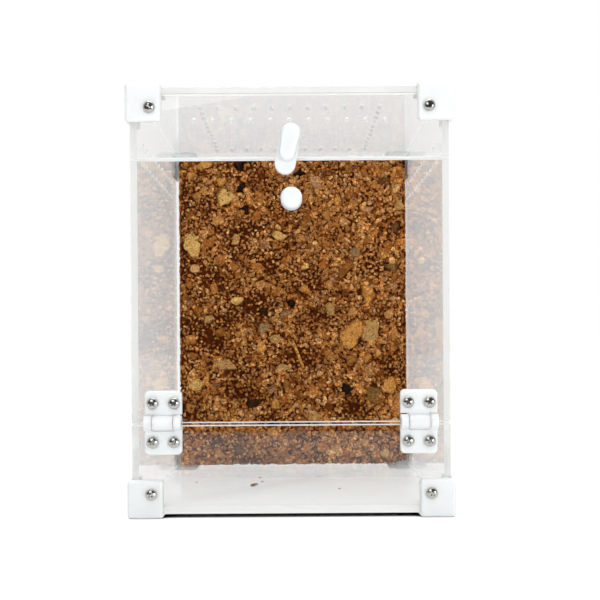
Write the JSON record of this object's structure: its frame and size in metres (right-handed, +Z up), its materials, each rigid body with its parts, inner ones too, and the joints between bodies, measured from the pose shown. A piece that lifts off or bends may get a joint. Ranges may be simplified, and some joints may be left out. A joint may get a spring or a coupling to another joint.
{
  "type": "front-opening terrarium",
  "caption": "Small clear box for a spider or gecko, with a fold-down front door, turn latch, knob, vent holes, white corner brackets and a granulated cork back.",
  "frame": {"origin": "on the floor, in the middle of the overall box", "axes": "+X to the right, +Y to the back (the door faces -Y), +Z up"},
  "size_m": [0.154, 0.1624, 0.204],
  "materials": {
    "clear_sheet": "clear polished acrylic sheet with cut edges",
    "white_plastic": "moulded white plastic, satin",
    "steel": "stainless steel, polished heads",
    "cork": "granulated cork and bark pressed into a rough board"
  },
  "bodies": {
    "box": {"base_panel": "clear_sheet", "top_panel": "clear_sheet", "left_side_panel": "clear_sheet", "right_side_panel": "clear_sheet", "rear_panel": "clear_sheet", "lower_front_panel": "clear_sheet", "upper_front_panel": "clear_sheet", "bracket_front_bottom_left": "white_plastic", "bracket_front_bottom_right": "white_plastic", "bracket_front_top_left": "white_plastic", "bracket_front_top_right": "white_plastic", "bracket_rear_bottom_left": "white_plastic", "bracket_rear_bottom_right": "white_plastic", "bracket_rear_top_left": "white_plastic", "bracket_rear_top_right": "white_plastic", "front_bracket_screws": "steel", "front_bracket_nuts": "steel", "rear_bracket_screws": "steel", "rear_bracket_nuts": "steel", "left_hinge_fixed_leaf": "white_plastic", "right_hinge_fixed_leaf": "white_plastic", "left_hinge_pin": "steel", "right_hinge_pin": "steel", "fixed_hinge_screws": "steel", "fixed_hinge_nuts": "steel", "latch_spacer": "white_plastic", "latch_washer": "steel", "cork_back": "cork"},
    "door": {"door_panel": "clear_sheet", "left_hinge_door_leaf": "white_plastic", "right_hinge_door_leaf": "white_plastic", "door_hinge_screws": "steel", "door_hinge_nuts": "steel", "door_knob": "white_plastic", "knob_washer": "steel", "knob_screw": "steel"},
    "latch": {"latch_lever": "white_plastic", "latch_screw": "steel"}
  },
  "joints": [
    {"name": "door_hinge", "type": "hinge", "parent": "box", "child": "door", "pos_m": [0, -0.07635, 0.045], "axis": [1, 0, 0], "range_deg": [0, 110]},
    {"name": "latch_turn", "type": "hinge", "parent": "box", "child": "latch", "pos_m": [0.00075, -0.07275, 0.1792], "axis": [0, -1, 0], "continuous": true}
  ]
}
